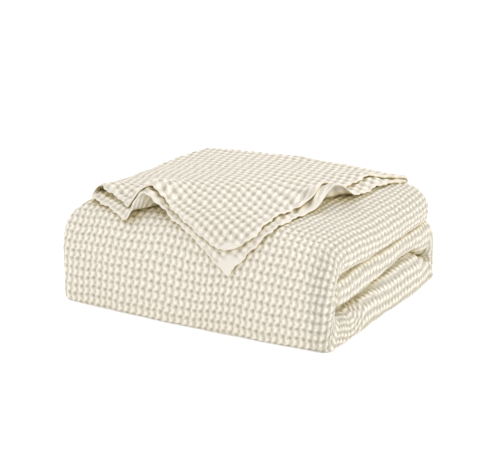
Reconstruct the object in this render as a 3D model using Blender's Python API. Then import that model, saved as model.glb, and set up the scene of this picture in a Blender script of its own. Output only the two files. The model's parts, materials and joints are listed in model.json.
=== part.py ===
"""A waffle weave cotton blanket, folded for a shelf, with one loose corner laid over the top.

The cloth is one sheet. It is folded in half from end to end, which makes a double cloth with both
end hems together, then turned over on itself across its width into four panels, which makes a strip
of eight layers, and then folded in thirds. From below, the thirds are the bottom run, the middle run
and the top run. The bottom run goes round the front, as one wall, into the top run, and the middle
run is tucked in behind that wall. Past the back of the top run, the two outer layers turn over and
come forward again as the loose corner.

Everything is in metres: X runs along the front wall, Y to the back, Z up, and the floor is Z = 0.
"""

from collections import Counter
from math import cos, exp, hypot, pi, sin

import bmesh
import bpy
import numpy as np

# Folded size
WIDTH = 0.400
DEPTH = 0.347
BODY_HEIGHT = 0.131  # without the loose corner
FRONT = -DEPTH / 2
BACK = DEPTH / 2

# The strip: eight layers, each with this share of its pitch left open to the next
LAYERS = 8
GAP_SHARE = 0.26
PITCH = 1 / (LAYERS - GAP_SHARE)  # of the strip's thickness
OUTER_SHEET = (0, 7, 2, 5)  # layers of the bottom, top, second and third double cloth
INNER_SHEET = (1, 6, 3, 4)

# Heights of the three runs
BOTTOM_TOP = 0.0370
BOTTOM_RISE = 0.015  # how much thicker the bottom run is at CREASE_PEAK than at the front
BOTTOM_DIP = 0.018  # how far it falls again from there to the back bend
CREASE_PEAK = 0.085
RUN_GAP = 0.0020
MIDDLE_TOP = 0.0845
TOP_FLOOR = 0.0865
TOP_CROWN = 0.004
RIGHT_DROOP = 0.008
BACK_LIFT = 0.75  # share of that droop that is gone at the back
LEFT_DROOP = 0.006
BACK_SAG = 0.003

# Front wall
FRONT_TURN = FRONT + 0.062  # where the top run starts to turn down
SHOULDER_SQUARE = 2.5  # squareness of the wall's upper curve, 2 being round
FRONT_BULGE = 0.007  # how far the middle of the front swells forward
FOOT_DEPTH = 0.006
FOOT_HEIGHT = 0.005
FOOT_START = 30  # degrees below the horizontal, as the wall's curve is stepped
FOOT_STOP = 66
POCKET_SQUARE = 4.5
WALL_LEFT = 0.044  # thickness of the strip where it goes down the front
WALL_RIGHT = 0.018

# Back bend, and where the top and middle runs stop
BACK_TURN = BACK - 0.036
BACK_SQUARE = 2.4
BACK_FOOT_SQUARE = 6.0
BACK_INNER = 0.001
TOP_END = BACK - 0.013
MIDDLE_END_GAP = 0.013
MIDDLE_END_PINCH = 0.004

# The side folds of each stretch: how far out they reach, and how long they round over
SIDES = {
    # stretch: (right reach, right round, left reach, left round, squareness inside and outside)
    "top": (0.198, 0.034, 0.190, 0.020, 4.5, 2.0),
    "wall": (0.200, 0.010, 0.192, 0.022, 2.4, 2.4),
    "bottom": (0.203, 0.022, 0.190, 0.020, 2.2, 9.0),
    "back": (0.199, 0.022, 0.194, 0.022, 2.2, 2.6),
    "middle": (0.196, 0.020, 0.192, 0.020, 3.5, 2.2),
}
BOTTOM_REACH = ((0.0, 0.203), (0.4, 0.2045), (0.79, 0.209), (1.0, 0.204))  # share, right reach
END_ROUND = 0.010  # how far the corners of the top run's back end are drawn in
SIDE_DROOP = 0.005  # how far the top run's right side hangs down

# The loose corner: its hems, as the place across the blanket and the way forward over its outer
# face, counted from FRONT_TURN, for the lower and the upper of its two layers
FRONT_HEM = (
    # share from the left, lower across, lower forward, upper across, upper forward
    (0.00, -0.172, 0.022, -0.172, 0.000),
    (0.19, -0.150, 0.030, -0.149, 0.014),
    (0.30, -0.122, 0.040, -0.119, 0.026),
    (0.40, -0.092, 0.054, -0.088, 0.042),
    (0.50, -0.072, 0.033, -0.066, 0.023),
    (0.60, -0.050, 0.034, -0.046, 0.028),
    (0.70, -0.030, 0.043, -0.020, 0.041),
    (0.84, 0.012, 0.064, 0.020, 0.060),
    (1.00, 0.067, 0.101, 0.054, 0.073),
)
RIGHT_HEM = (
    # share from the back, lower across, lower forward, upper across, upper forward
    (0.00, 0.149, -0.270, 0.146, -0.270),
    (0.06, 0.144, -0.252, 0.132, -0.252),
    (0.20, 0.138, -0.212, 0.119, -0.224),
    (0.36, 0.135, -0.160, 0.114, -0.167),
    (0.52, 0.127, -0.096, 0.108, -0.104),
    (0.64, 0.119, -0.050, 0.108, -0.052),
    (0.78, 0.116, 0.006, 0.104, -0.004),
    (0.90, 0.101, 0.054, 0.091, 0.044),
    (1.00, 0.067, 0.101, 0.054, 0.073),
)
LEFT_EDGE = ((0.00, -0.165), (0.10, -0.169), (0.30, -0.175), (1.00, -0.172))  # share, across
LEFT_TURN = -0.172  # where the loose corner starts to turn down over the left side
LEFT_ROUND = 0.025
HUMPS = (
    # across, forward, height, spread to the left, right, back and front
    (-0.073, 0.030, 0.022, 0.016, 0.026, 0.055, 0.030),
    (-0.160, 0.020, 0.006, 0.030, 0.022, 0.050, 0.030),
    (0.128, -0.104, 0.026, 0.034, 0.036, 0.036, 0.032),
    (0.120, -0.225, 0.005, 0.030, 0.020, 0.030, 0.030),
)
CORNER_CLEARANCE = (0.0016, 0.0044)  # beyond the strip's own gap, for the lower and upper layer
ROOT_LOOSENESS = 1.3

# How finely the cloth is divided
OUTER_FOLD_STEPS = 7
LEFT_FOLD_STEPS = 5
INNER_FOLD_STEPS = 4
HIDDEN_SHARES = (0.0, 0.35, 0.7, 1.0)
TOP_SHARES = (0, 0.065, 0.125, 0.19, 0.27, 0.35, 0.41, 0.46, 0.51, 0.57, 0.65, 0.75, 0.87, 1)
STATIONS = (
    # stretch and the shares along it; each ends where the next one starts
    ("top", (0, 0.03, 0.10, 0.38, 0.68)),
    ("wall", (0, 0.09, 0.18, 0.27, 0.355, 0.44, 0.55, 2 / 3, 0.73, 0.80, 0.87)),
    ("bottom", (0, 0.4, 0.79)),
    ("back", tuple(step / 7 for step in range(7))),
    ("middle", (0, 0.21, 1)),
)
END_STEPS = 3
ROOT_STEPS = 4
CORNER_STEPS = 15
CORNER_EASE = 1.25  # above 1 the loose corner's rows lie closer together towards its front
FACE_SAMPLES = 48

CREAM = (0.79, 0.74, 0.62, 1.0)


def mix(a, b, share):
    return a + (b - a) * share


def ease(share):
    share = min(1.0, max(0.0, share))
    return share * share * (3 - 2 * share)


def squared(value, square):
    """A cosine or sine turned into the coordinate of a superellipse of that squareness."""
    return abs(value) ** (2 / square) * (1 if value >= 0 else -1)


# ---- along the strip: its inner and outer face, as (y, z), at a share of each stretch ---------


def top_height(x, y):
    """The upper face of the top run, a little crowned and uneven."""
    crown = TOP_CROWN * (1 - (2 * x / WIDTH) ** 2)
    crown -= RIGHT_DROOP * ease((x - 0.09) / 0.11) * (1 - BACK_LIFT * ease((y - 0.04) / 0.12))
    crown -= LEFT_DROOP * ease((-0.10 - x) / 0.08) * ease((0.16 - y) / 0.20)
    sag = BACK_SAG * ease((y - 0.05) / 0.12)
    ripple = 0.0012 * sin(21 * x + 9 * y + 0.6) + 0.0008 * sin(33 * y - 12 * x)
    return BODY_HEIGHT + crown - sag + ripple


def wall_thickness(x):
    return mix(WALL_RIGHT, WALL_LEFT, 0.5 - x / WIDTH)


def bottom_top(y):
    rise = BOTTOM_RISE * ease((y - FRONT_TURN) / (CREASE_PEAK - FRONT_TURN))
    return BOTTOM_TOP + rise - BOTTOM_DIP * ease((y - CREASE_PEAK) / (BACK_TURN - CREASE_PEAK))


def top_run(share, x):
    y = mix(TOP_END, FRONT_TURN, share)
    return (y, TOP_FLOOR), (y, top_height(x, y))


def foot(degrees, depth, middle):
    """The wall's outer face below its middle: down, round a tight corner and back on the floor."""
    if degrees < FOOT_START:
        return FRONT_TURN - depth, mix(middle, FOOT_HEIGHT, degrees / FOOT_START)
    if degrees > FOOT_STOP:
        share = (degrees - FOOT_STOP) / (90 - FOOT_STOP)
        return FRONT_TURN - (depth - FOOT_DEPTH) * (1 - share), 0.0
    turn = 0.5 * pi * (degrees - FOOT_START) / (FOOT_STOP - FOOT_START)
    return FRONT_TURN - depth + FOOT_DEPTH * (1 - cos(turn)), FOOT_HEIGHT * (1 - sin(turn))


def front_wall(share, x):
    angle = pi / 2 - pi * share
    across, along = cos(angle), sin(angle)
    middle = 0.5 * (BOTTOM_TOP + TOP_FLOOR)
    depth = FRONT_TURN - FRONT + FRONT_BULGE * max(0.0, 1 - (2 * x / WIDTH) ** 2)
    if along > 0:
        reach = top_height(x, FRONT_TURN) - middle
        square = SHOULDER_SQUARE
        outer = (FRONT_TURN - depth * squared(across, square), middle + reach * squared(along, square))
    else:
        outer = foot(180 * share - 90, depth, middle)
    depth -= wall_thickness(x)
    reach = 0.5 * (TOP_FLOOR - BOTTOM_TOP)
    pocket = POCKET_SQUARE
    inner = (FRONT_TURN - depth * squared(across, pocket), middle + reach * squared(along, pocket))
    return inner, outer


def bottom_run(share, x):
    y = mix(FRONT_TURN, BACK_TURN, share)
    return (y, bottom_top(y)), (y, 0.0)


def back_bend(share, x):
    angle = -pi / 2 + pi * share
    square = BACK_SQUARE if angle > 0 else BACK_FOOT_SQUARE
    reach = (BACK - BACK_TURN) * squared(cos(angle), square)
    outer = (BACK_TURN + reach, 0.5 * MIDDLE_TOP * (1 + squared(sin(angle), square)))
    height = bottom_top(BACK_TURN) + RUN_GAP * (0.5 + 0.5 * sin(angle))
    return (BACK_TURN + BACK_INNER * cos(angle), height), outer


def middle_run(share, x):
    y = mix(BACK_TURN, FRONT + wall_thickness(x) + MIDDLE_END_GAP, share)
    pinch = MIDDLE_END_PINCH * ease(2 * share - 1)
    return (y, bottom_top(y) + RUN_GAP + pinch), (y, MIDDLE_TOP - pinch)


STRETCHES = {
    "top": top_run,
    "wall": front_wall,
    "bottom": bottom_run,
    "back": back_bend,
    "middle": middle_run,
}


def side_sizes(stretch, share):
    """The side folds' sizes at a share of a stretch, blended from one stretch into the next."""
    here = SIDES[stretch]
    if stretch == "wall":
        angle = 90 - 180 * share
        for beyond, part in (("top", (angle - 25) / 60), ("bottom", (-angle - 40) / 50)):
            here = tuple(mix(a, b, ease(part)) for a, b in zip(here, SIDES[beyond]))
    elif stretch == "bottom":
        here = (float(np.interp(share, *zip(*BOTTOM_REACH))),) + here[1:]
    elif stretch == "back":
        before = (BOTTOM_REACH[-1][1],) + SIDES["bottom"][1:]
        here = tuple(mix(a, b, ease(5 * share)) for a, b in zip(before[:4], here[:4]))
        here += tuple(mix(a, b, ease(2 * share)) for a, b in zip(before[4:], SIDES["back"][4:]))
    elif stretch == "middle":
        here = tuple(mix(a, b, ease(3 * share)) for a, b in zip(SIDES["back"], here))
    else:
        drawn_in = END_ROUND * (1 - ease(0.5 + 5 * share)) * 2 if stretch == "top" else 0
        here = (here[0] - drawn_in, here[1], here[2] - drawn_in / 2) + here[3:]
    return here


# ---- across the strip -------------------------------------------------------------------------


def side_fold(zone, high, centre, steps):
    """Steps round a side fold from its inner face to its outer one, without its two ends."""
    size = high - centre
    return [(zone, size, centre, pi * (step / steps - 0.5)) for step in range(1, steps)]


def section(layers, outside):
    """One face of the cloth across its width.

    A point of a panel is ("panel", share from the left, height), and one of a side fold is (side,
    size, centre, angle), with the heights and sizes as shares of the strip's thickness. The turns
    all go the same way, so each side fold goes round the ones inside it.
    """
    bottom, top, second, third = (layer_face(layer, outside) for layer in layers)
    points = [("panel", share, bottom) for share in HIDDEN_SHARES]
    points += side_fold("right", top, 0.5, OUTER_FOLD_STEPS)
    points += [("panel", share, top) for share in reversed(TOP_SHARES)]
    points += reversed(side_fold("left", top, 0.5 + PITCH, LEFT_FOLD_STEPS))
    points += [("panel", share, second) for share in HIDDEN_SHARES]
    points += side_fold("right", third, 0.5, INNER_FOLD_STEPS)
    points += [("panel", share, third) for share in reversed(HIDDEN_SHARES)]
    return points


def layer_face(layer, outside):
    """The height of a layer's outer or inner face, counted from the strip's middle."""
    above = (layer >= LAYERS / 2) == outside
    return (layer + (1 - GAP_SHARE if above else 0)) * PITCH


def place(stretch, share, point):
    """A section point at a share of a stretch, in the blanket's own frame."""
    sizes = side_sizes(stretch, share)
    right_reach, right_round, left_reach, left_round, inner_square, outer_square = sizes
    right, left = right_reach - right_round, left_round - left_reach
    if point[0] == "panel":
        x, height = mix(left, right, point[1]), point[2]
    else:
        side, size, centre, angle = point
        square = outer_square if angle > 0 else inner_square
        height = centre + size * squared(sin(angle), square)
        out = size / (1 - centre) * squared(cos(angle), square)
        x = right + right_round * out if side == "right" else left - left_round * out
    inner, outer = STRETCHES[stretch](share, x)
    droop = SIDE_DROOP * max(0.0, x - right) ** 2 / right_round ** 2 if stretch == "top" else 0.0
    return x, mix(inner[0], outer[0], height), mix(inner[1], outer[1], height) - droop


# ---- the loose corner -------------------------------------------------------------------------


def outer_face(x, forward):
    """The strip's outer face at a way forward over it: a point (y, z) and its normal."""
    if forward <= 0:
        y = FRONT_TURN - forward
        return (y, top_height(x, y)), (0.0, 1.0)
    curve = np.array([front_wall(0.8 * step / FACE_SAMPLES, x)[1] for step in range(FACE_SAMPLES + 1)])
    steps = np.diff(curve, axis=0)
    length = np.concatenate(([0.0], np.cumsum(np.hypot(steps[:, 0], steps[:, 1]))))
    spot = [float(np.interp(forward, length, curve[:, axis])) for axis in (0, 1)]
    ahead, behind = min(forward + 0.004, length[-1]), max(forward - 0.004, 0.0)
    run = [
        float(np.interp(ahead, length, curve[:, axis]) - np.interp(behind, length, curve[:, axis]))
        for axis in (0, 1)
    ]
    size = hypot(*run)
    return tuple(spot), (run[1] / size, -run[0] / size)


def hump_height(across, forward):
    """How far the loose corner is lifted off the folded body, in soft uneven humps."""
    height = 0.0
    for mid_across, mid_forward, top, left, right, back, front in HUMPS:
        beside, ahead = across - mid_across, forward - mid_forward
        beside /= left if beside < 0 else right
        ahead /= back if ahead < 0 else front
        height += top * exp(-beside * beside - ahead * ahead)
    return height


def over_body(across, forward, offset):
    """A point that far off the folded body, where across bends down round the left side."""
    height = offset + hump_height(across, forward)
    x = across
    if across < LEFT_TURN:
        turn = (LEFT_TURN - across) / LEFT_ROUND
        x = LEFT_TURN - (LEFT_ROUND + height) * sin(turn)
        height = (LEFT_ROUND + height) * cos(turn) - LEFT_ROUND
    (y, z), (out, up) = outer_face(x, forward)
    return x, y + out * height, z + up * height


def column(table, place_in_row):
    """A curve read from one column of a short table whose first column is the share."""
    shares = [row[0] for row in table]
    return lambda share: float(np.interp(share, shares, [row[place_in_row] for row in table]))


def hem_patch(level):
    """A level's map from its shares, from the left and from the back, to across and forward."""
    front_across, front_forward = column(FRONT_HEM, 1 + 2 * level), column(FRONT_HEM, 2 + 2 * level)
    right_across, right_forward = column(RIGHT_HEM, 1 + 2 * level), column(RIGHT_HEM, 2 + 2 * level)
    left_across = column(LEFT_EDGE, 1)
    root = FRONT_TURN - TOP_END
    root_left, root_right = left_across(0), right_across(0)
    front_left = front_across(0), front_forward(0)
    tip = front_across(1), front_forward(1)

    def patch(p, q):
        left = mix(left_across(q), front_left[0], q * q), mix(root, front_left[1], q)
        back = mix(root_left, root_right, p), root
        right, front = (right_across(q), right_forward(q)), (front_across(p), front_forward(p))
        corners = ((root_left, root), (root_right, root), front_left, tip)
        return tuple(
            mix(left[axis], right[axis], p)
            + mix(back[axis], front[axis], q)
            - mix(mix(corners[0][axis], corners[1][axis], p), mix(corners[2][axis], corners[3][axis], p), q)
            for axis in (0, 1)
        )

    return patch


def corner_rows(level, outside):
    """One face of a loose layer, row by row from the top run's end to the front hem."""
    right_reach, right_round, left_reach, left_round = side_sizes("top", 0.0)[:4]
    layer = LAYERS - 1 - level
    patch = hem_patch(level)
    rows = []
    for step in range(1, ROOT_STEPS + CORNER_STEPS + 1):
        row = []
        for share in reversed(TOP_SHARES):
            x = mix(left_round - left_reach, right_reach - right_round, share)
            thickness = top_height(x, TOP_END) - TOP_FLOOR
            top = top_height(x, TOP_END) + 0.5 * GAP_SHARE * PITCH * thickness
            radius = top - TOP_FLOOR - layer_face(layer, outside) * thickness
            if step <= ROOT_STEPS:
                turn = pi * (step / ROOT_STEPS - 0.5)
                row.append((x, TOP_END + ROOT_LOOSENESS * radius * cos(turn), top + radius * sin(turn)))
            else:
                q = 1 - (1 - (step - ROOT_STEPS) / CORNER_STEPS) ** CORNER_EASE
                across, forward = patch(share, q)
                row.append(over_body(across, forward, radius + CORNER_CLEARANCE[level] * ease(4 * q)))
        rows.append(row)
    return rows


# ---- the cloth --------------------------------------------------------------------------------


def strip_rows(outside):
    """One face of the sheet: out along its outer layers, round their end and back by the inner."""
    stations = [(stretch, share) for stretch, shares in STATIONS for share in shares]
    outer, inner = section(OUTER_SHEET, outside), section(INNER_SHEET, not outside)
    going = [[place(*station, point) for point in outer] for station in stations]
    coming = [[place(*station, point) for point in inner] for station in stations]
    turn = []
    for step in range(1, END_STEPS):
        angle = pi * step / END_STEPS
        row = []
        for a, b in zip(going[-1], coming[-1]):
            centre, arm = [(m + n) / 2 for m, n in zip(a, b)], [(m - n) / 2 for m, n in zip(a, b)]
            point = [m + n * cos(angle) for m, n in zip(centre, arm)]
            point[1] -= hypot(*arm) * sin(angle)
            row.append(tuple(point))
        turn.append(row)
    return going + turn + coming[::-1]


def column_directions():
    """For each column of cells, 1 where it runs to the right or round a side, and -1 to the left."""
    top, hidden = len(TOP_SHARES) - 1, len(HIDDEN_SHARES) - 1
    turns = LEFT_FOLD_STEPS + hidden + INNER_FOLD_STEPS
    return [1] * (hidden + OUTER_FOLD_STEPS) + [-1] * top + [1] * turns + [-1] * hidden


def cloth_grid():
    """The points of both faces of the sheet, and its cells as four point numbers each."""
    faces = ([], [])
    cells = []

    def add_rows(two_faces):
        numbers = []
        for outer_row, inner_row in zip(*two_faces):
            first = len(faces[0])
            faces[0].extend(outer_row)
            faces[1].extend(inner_row)
            numbers.append(list(range(first, first + len(outer_row))))
        return numbers

    def add_cells(rows, directions, ways):
        for low, high, way in zip(rows, rows[1:], ways):
            for step, direction in enumerate(directions):
                corners = (low[step], low[step + 1], high[step + 1], high[step])
                cells.append(corners if direction * way > 0 else corners[1:] + corners[:1])

    rows = add_rows((strip_rows(True), strip_rows(False)))
    directions = column_directions()
    half = len(rows) // 2
    add_cells(rows, directions, [1] * half + [-1] * (len(rows) - 1 - half))
    first = len(HIDDEN_SHARES) + OUTER_FOLD_STEPS - 1
    last = first + len(TOP_SHARES)
    for level, end, outside in ((0, rows[0], True), (1, rows[-1], False)):
        loose = add_rows((corner_rows(level, outside), corner_rows(level, not outside)))
        loose = [end[first:last]] + loose
        if level == 0:
            loose.reverse()
        add_cells(loose, [-1] * (len(TOP_SHARES) - 1), [1 if level == 0 else -1] * (len(loose) - 1))
    return faces, cells


def blanket_mesh():
    """The closed mesh: both faces of every cell, and a rim wherever a cell has no neighbour."""
    (outer, inner), cells = cloth_grid()
    count = len(outer)
    points = np.array(outer + inner)
    points[:, :2] -= (points.min(axis=0)[:2] + points.max(axis=0)[:2]) / 2
    triangles = []
    for a, b, c, d in cells:
        triangles += [(a, b, c), (a, c, d)]
    edges = Counter(edge for a, b, c in triangles for edge in ((a, b), (b, c), (c, a)))
    rim = [edge for edge in edges if edge[::-1] not in edges]
    faces = triangles + [(c + count, b + count, a + count) for a, b, c in triangles]
    for a, b in rim:
        faces += [(b, a, a + count), (b, a + count, b + count)]
    mesh = bpy.data.meshes.new("blanket")
    mesh.from_pydata(points.tolist(), [], faces)
    shell = bmesh.new()
    shell.from_mesh(mesh)
    bmesh.ops.recalc_face_normals(shell, faces=shell.faces)
    shell.to_mesh(mesh)
    shell.free()
    mesh.shade_smooth()
    mesh.set_sharp_from_angle(angle=pi / 4)
    return mesh


def cotton_material():
    material = bpy.data.materials.new("cream cotton")
    material.use_nodes = True
    shader = material.node_tree.nodes["Principled BSDF"]
    shader.inputs["Base Color"].default_value = CREAM
    shader.inputs["Roughness"].default_value = 0.9
    shader.inputs["Metallic"].default_value = 0.0
    return material


def main():
    for old in list(bpy.data.objects):
        bpy.data.objects.remove(old, do_unlink=True)
    mesh = blanket_mesh()
    mesh.materials.append(cotton_material())
    blanket = bpy.data.objects.new("blanket", mesh)
    bpy.context.scene.collection.objects.link(blanket)


main()
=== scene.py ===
"""A folded waffle weave cotton blanket with one loose corner: its woven cloth, hems and stage.

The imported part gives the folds. Here each outer layer gets its woven relief, and the layers that
are folded away keep a plainer one. Everything is in metres in the part's own frame: X runs along
the front wall, Y to the back, Z up, and the floor is Z = 0. Heights through the folded strip of
eight layers are shares of its thickness, from 0 at its inner face to 1 at its outer one.
"""

import json
from math import cos, pi, radians, sin, tau

import bmesh
import bpy
import numpy as np
from bpy.props import FloatProperty, FloatVectorProperty, IntProperty, PointerProperty
from mathutils import Matrix, Vector

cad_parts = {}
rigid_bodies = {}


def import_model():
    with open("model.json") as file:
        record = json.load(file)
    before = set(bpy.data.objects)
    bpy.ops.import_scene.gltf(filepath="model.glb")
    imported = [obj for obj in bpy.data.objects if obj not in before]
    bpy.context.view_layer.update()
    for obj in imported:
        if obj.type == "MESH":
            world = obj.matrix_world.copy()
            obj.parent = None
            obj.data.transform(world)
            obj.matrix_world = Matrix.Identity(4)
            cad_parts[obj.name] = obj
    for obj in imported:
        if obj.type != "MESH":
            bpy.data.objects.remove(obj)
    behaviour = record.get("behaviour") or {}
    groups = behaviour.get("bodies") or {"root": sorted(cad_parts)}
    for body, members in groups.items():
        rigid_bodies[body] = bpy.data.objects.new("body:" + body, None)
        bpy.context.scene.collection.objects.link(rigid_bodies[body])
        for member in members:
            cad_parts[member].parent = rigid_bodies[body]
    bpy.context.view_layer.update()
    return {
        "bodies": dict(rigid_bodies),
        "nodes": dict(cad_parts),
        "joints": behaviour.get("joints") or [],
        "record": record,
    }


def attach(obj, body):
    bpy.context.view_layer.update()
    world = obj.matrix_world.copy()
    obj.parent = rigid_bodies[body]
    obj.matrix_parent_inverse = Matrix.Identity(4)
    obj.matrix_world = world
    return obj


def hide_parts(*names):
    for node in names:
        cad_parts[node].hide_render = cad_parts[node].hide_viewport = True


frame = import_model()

bl_info = {
    "name": "Folded waffle blanket",
    "version": (1, 0, 0),
    "blender": (4, 5, 0),
    "location": "3D View > Sidebar > Blanket",
    "description": "Builds the woven cloth, hems and stage of a folded waffle weave blanket",
    "category": "Object",
}

NODE = "blanket"
BODY = "root"

# The folded body, with the same values as the part's source
WIDTH = 0.400
DEPTH = 0.347
BODY_HEIGHT = 0.131
FRONT = -DEPTH / 2
BACK = DEPTH / 2
CENTRE_SHIFT = (0.007651675, -0.005135525)  # of the folds' own axes from the part's centred frame
LAYERS = 8
GAP_SHARE = 0.26
PITCH = 1 / (LAYERS - GAP_SHARE)
OUTER_SHEET = (0, 7, 2, 5)
INNER_SHEET = (1, 6, 3, 4)
BOTTOM_TOP = 0.0370
BOTTOM_RISE = 0.015
BOTTOM_DIP = 0.018
CREASE_PEAK = 0.085
RUN_GAP = 0.0020
MIDDLE_TOP = 0.0845
TOP_FLOOR = 0.0865
TOP_CROWN = 0.004
RIGHT_DROOP = 0.008
DROOP_TO_RIGHT = (0.09, 0.11)  # where that starts and over how much it rises, as in the next ones
BACK_LIFT = 0.75
LIFT_TO_BACK = (0.04, 0.12)
LEFT_DROOP = 0.006
DROOP_TO_LEFT = (0.10, 0.08)
DROOP_TO_FRONT = (-0.16, 0.20)
BACK_SAG = 0.003
SAG_TO_BACK = (0.05, 0.12)
RIPPLES = ((0.0012, 21, 9, 0.6), (0.0008, -12, 33, 0.0))
FRONT_TURN = FRONT + 0.062
SHOULDER_SQUARE = 2.5
FRONT_BULGE = 0.007
FOOT_DEPTH = 0.006
FOOT_HEIGHT = 0.005
FOOT_START = 30
FOOT_STOP = 66
POCKET_SQUARE = 4.5
WALL_LEFT = 0.044
WALL_RIGHT = 0.018
BACK_TURN = BACK - 0.036
BACK_SQUARE = 2.4
BACK_FOOT_SQUARE = 6.0
BACK_INNER = 0.001
TOP_END = BACK - 0.013
MIDDLE_END_GAP = 0.013
MIDDLE_END_PINCH = 0.004
SIDES = {
    "top": (0.198, 0.034, 0.190, 0.020, 4.5, 2.0),
    "wall": (0.200, 0.010, 0.192, 0.022, 2.4, 2.4),
    "bottom": (0.203, 0.022, 0.190, 0.020, 2.2, 9.0),
    "back": (0.199, 0.022, 0.194, 0.022, 2.2, 2.6),
    "middle": (0.196, 0.020, 0.192, 0.020, 3.5, 2.2),
}
BOTTOM_REACH = ((0.0, 0.203), (0.4, 0.2045), (0.79, 0.209), (1.0, 0.204))
END_ROUND = 0.010
SIDE_DROOP = 0.005

# The loose corner. Its front hems: share from the left, then across and forward for the lower layer
# and for the upper one; its right hems: share from the back, then the same
FRONT_HEM = (
    (0.00, -0.164, 0.022, -0.166, 0.000),
    (0.19, -0.146, 0.030, -0.148, 0.014),
    (0.30, -0.122, 0.040, -0.119, 0.026),
    (0.40, -0.092, 0.054, -0.088, 0.042),
    (0.50, -0.072, 0.033, -0.066, 0.023),
    (0.60, -0.050, 0.034, -0.046, 0.028),
    (0.70, -0.030, 0.043, -0.020, 0.041),
    (0.84, 0.012, 0.064, 0.020, 0.060),
    (1.00, 0.067, 0.101, 0.064, 0.078),
)
RIGHT_HEM = (
    (0.00, 0.149, -0.270, 0.146, -0.270),
    (0.06, 0.144, -0.252, 0.132, -0.252),
    (0.20, 0.138, -0.212, 0.119, -0.224),
    (0.36, 0.135, -0.160, 0.114, -0.167),
    (0.52, 0.127, -0.096, 0.108, -0.104),
    (0.64, 0.119, -0.050, 0.108, -0.052),
    (0.78, 0.116, 0.006, 0.104, -0.004),
    (0.90, 0.101, 0.054, 0.096, 0.048),
    (1.00, 0.067, 0.101, 0.064, 0.078),
)
# Its left edge: share from the back, across
LEFT_EDGE = ((0.00, -0.165), (0.10, -0.169), (0.30, -0.173), (1.00, -0.164))
LEFT_TURN = -0.172
LEFT_ROUND = 0.025
# Its humps: across, forward, height, reach to the left and right, to the back for each layer, and
# to the front
HUMPS = (
    (-0.073, 0.030, 0.0245, 0.016, 0.026, (0.034, 0.055), 0.030),
    (-0.160, 0.020, 0.003, 0.030, 0.022, (0.050, 0.050), 0.030),
    (0.128, -0.104, 0.026, 0.034, 0.036, (0.036, 0.036), 0.032),
    (0.120, -0.225, 0.005, 0.030, 0.020, (0.030, 0.030), 0.030),
    (-0.010, -0.060, 0.009, 0.110, 0.060, (0.070, 0.070), 0.060),
)
LEFT_END_LIFT = (-0.157, 0.0055, 0.030, 0.040)  # of the upper layer: across, height, spread, depth
CORNER_CLEARANCE = (0.0012, 0.0010)  # of each layer, over the pitch of the folded ones
LOOSE_THICKNESS = 0.70  # of the loose layers, as a share of a folded one's
UNDER_HEM = 0.004  # how far in a layer's underside keeps to its humps
UNDER_DIVE = 0.010  # over how much it comes down inside them
UNDER_CLOSE = 0.0010  # how much nearer the upper layer's then comes to the lower layer
BLUNT_TIPS = (0.0, 0.006)  # how far each layer's tip is drawn back
BLUNT_REACH = 0.010  # how far from the tip that is felt
ROOT_LOOSENESS = 1.3  # how much further back than up the turn over the back edge reaches
CORNER_WIDTH = 0.318  # of the loose corner's cloth, between its side hems
CORNER_LENGTH = 0.338  # from the back edge to the front hem
CORNER_BEND = 0.0115  # radius at which that cloth turns over the back edge

# How finely the outer layers are divided
RIGHT_CELLS = 60
PANEL_CELLS = 208
LEFT_CELLS = 36
HIDDEN_PANEL_CELLS = 26
FOLD_SAMPLES = 129
COARSE_STEP = 4  # of the fine grid, for a face that is turned away
CORNER_STEP = 2  # the same in the loose corner
EDGE_LINES = (0.0, 0.0004, 0.0011, 0.0020, 0.0030)  # distances from a hem's edge
HEM_ROUND = 0.0030  # over how much a hem's edge is rounded
EDGE_LINE = 0.0010  # width of the pale line along it
TIP_PATCH = 0.012  # side of the smooth doubled hem at a tip
HEM_WAVER = 0.0011  # how far a hem's edge strays over a few cells
WAVER_LENGTH = 2.7  # how much longer those waves are than a cell
CORNER_FOLD_CELLS = 18
CORNER_FOLD_FULLNESS = 0.8  # how far that fold swells, as a share of half its height
OUTER_SPACING = {"top": 0.0017, "wall": 0.0014, "bottom": 0.0019, "back": 0.0019, "middle": 0.0019}
CORNER_SPACING = (0.0019, 0.0015)  # in the lower and the upper layer
CORNER_FOLD_SPACING = 0.0017
FAR = 1.0  # a distance beyond any hem's reach


def mix(a, b, share):
    return a + (b - a) * share


def ease(share):
    share = np.clip(share, 0.0, 1.0)
    return share * share * (3 - 2 * share)


def rise(value, start, over):
    """0 up to the start and 1 from there over that much on, with a smooth rise between."""
    return ease((value - start) / over)


def squared(value, square):
    return np.sign(value) * np.abs(value) ** (2 / square)


def slow_waves(u, v, waves):
    return sum(height * np.sin(a * u + b * v + start) for height, a, b, start in waves)


def unit(vectors):
    return vectors / np.maximum(np.linalg.norm(vectors, axis=-1, keepdims=True), 1e-12)


# ---- The folds, as the part has them


def top_height(x, y):
    right = RIGHT_DROOP * rise(x, *DROOP_TO_RIGHT) * (1 - BACK_LIFT * rise(y, *LIFT_TO_BACK))
    left = LEFT_DROOP * rise(-x, *DROOP_TO_LEFT) * rise(-y, *DROOP_TO_FRONT)
    crown = TOP_CROWN * (1 - (2 * x / WIDTH) ** 2) - right - left
    return BODY_HEIGHT + crown - BACK_SAG * rise(y, *SAG_TO_BACK) + slow_waves(x, y, RIPPLES)


def wall_thickness(x):
    return mix(WALL_RIGHT, WALL_LEFT, 0.5 - x / WIDTH)


def bottom_top(y):
    up = BOTTOM_RISE * rise(y, FRONT_TURN, CREASE_PEAK - FRONT_TURN)
    return BOTTOM_TOP + up - BOTTOM_DIP * rise(y, CREASE_PEAK, BACK_TURN - CREASE_PEAK)


def top_run(share, x):
    y = mix(TOP_END, FRONT_TURN, share)
    return (y, TOP_FLOOR), (y, top_height(x, y))


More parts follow.
